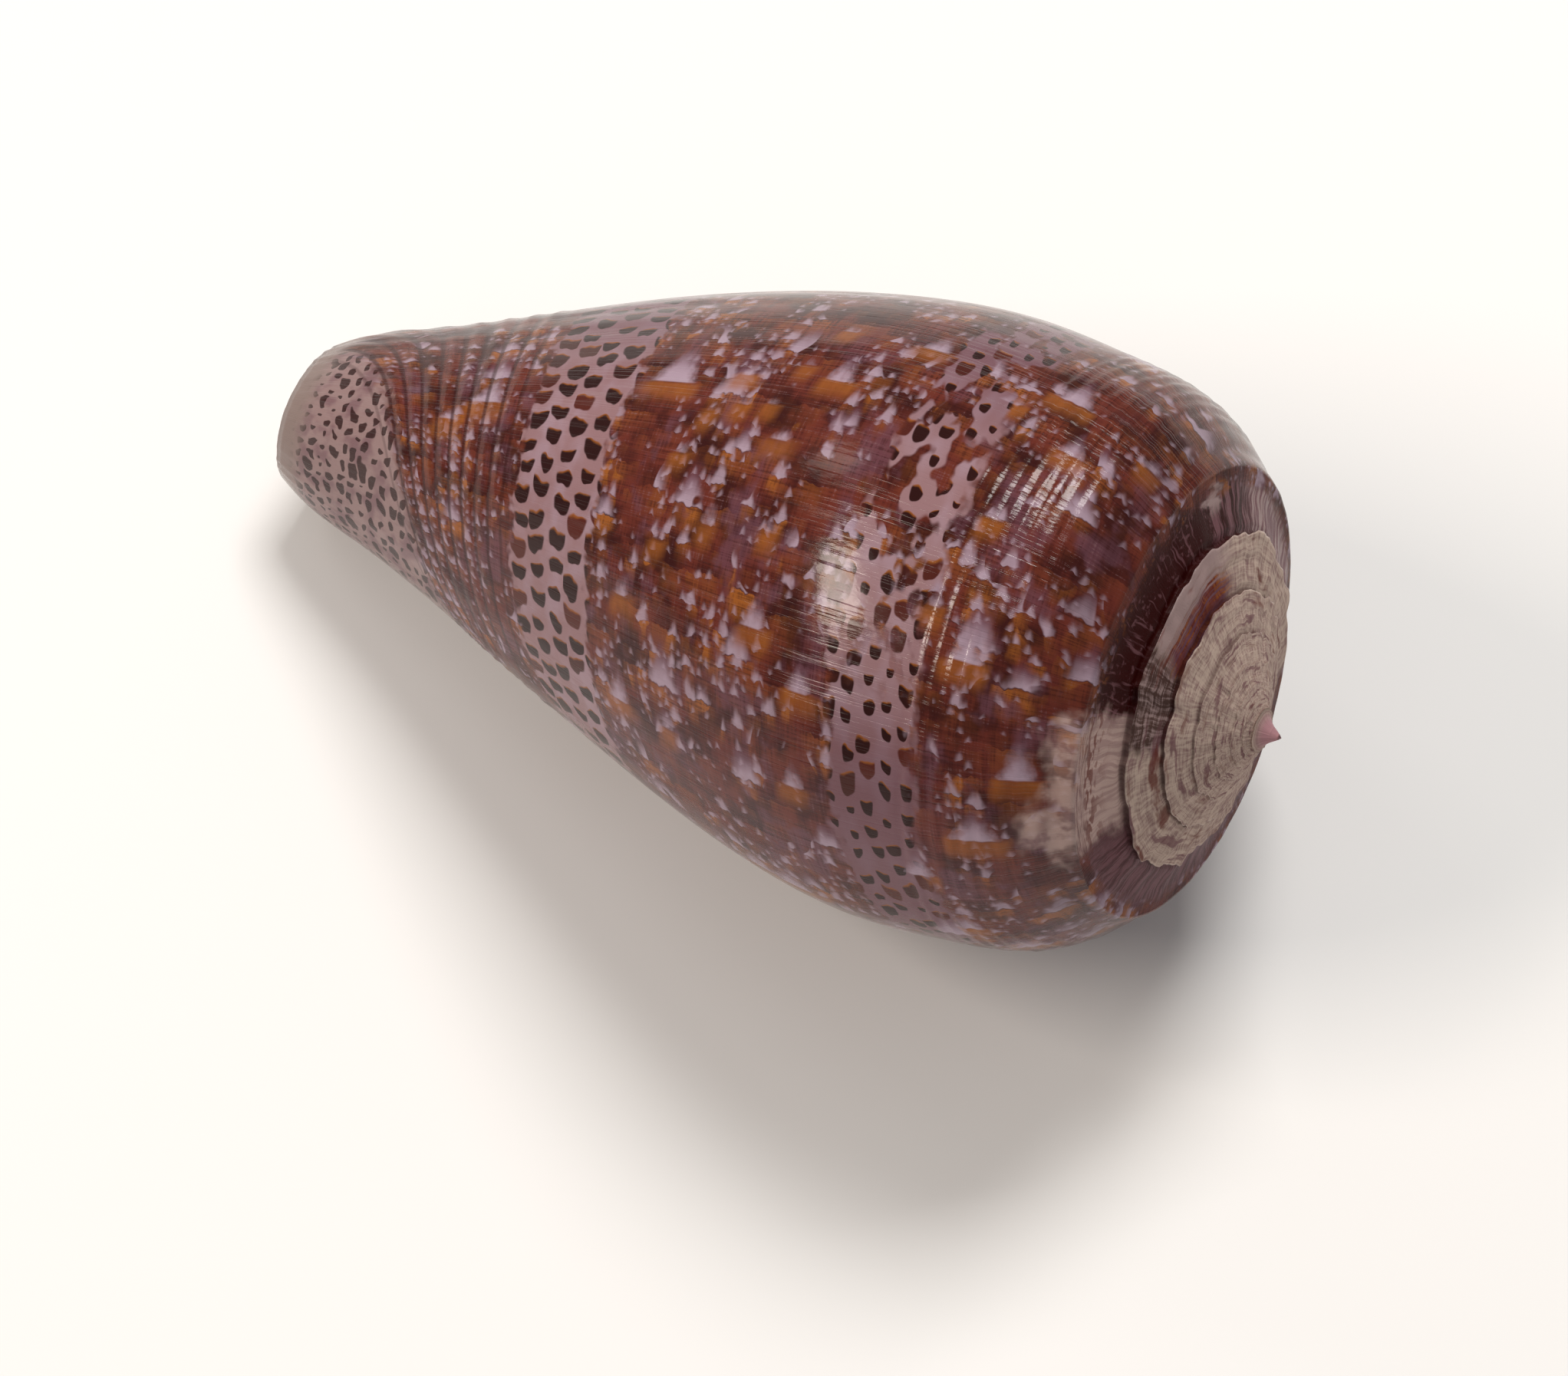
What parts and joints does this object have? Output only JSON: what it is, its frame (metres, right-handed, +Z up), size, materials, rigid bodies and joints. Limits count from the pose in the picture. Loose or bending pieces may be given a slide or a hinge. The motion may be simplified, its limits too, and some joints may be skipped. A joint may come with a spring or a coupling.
{
  "type": "cone shell",
  "caption": "Coiled sea shell of a cone snail: a tapering body, a low stepped spire with a sharp tip, and a long narrow mouth. It lies on its mouth.",
  "frame": {"origin": "on the table, under the middle of the shell's box, as it lies on its mouth", "axes": "+X towards the spire along the shell's length as seen from above, +Z up from the table"},
  "size_m": [0.0582, 0.0326, 0.0323],
  "materials": {
    "shell": "glossy porcelain-like shell, red-brown with lilac tents and dots"
  },
  "bodies": {
    "root": {"shell": "shell"}
  },
  "joints": []
}
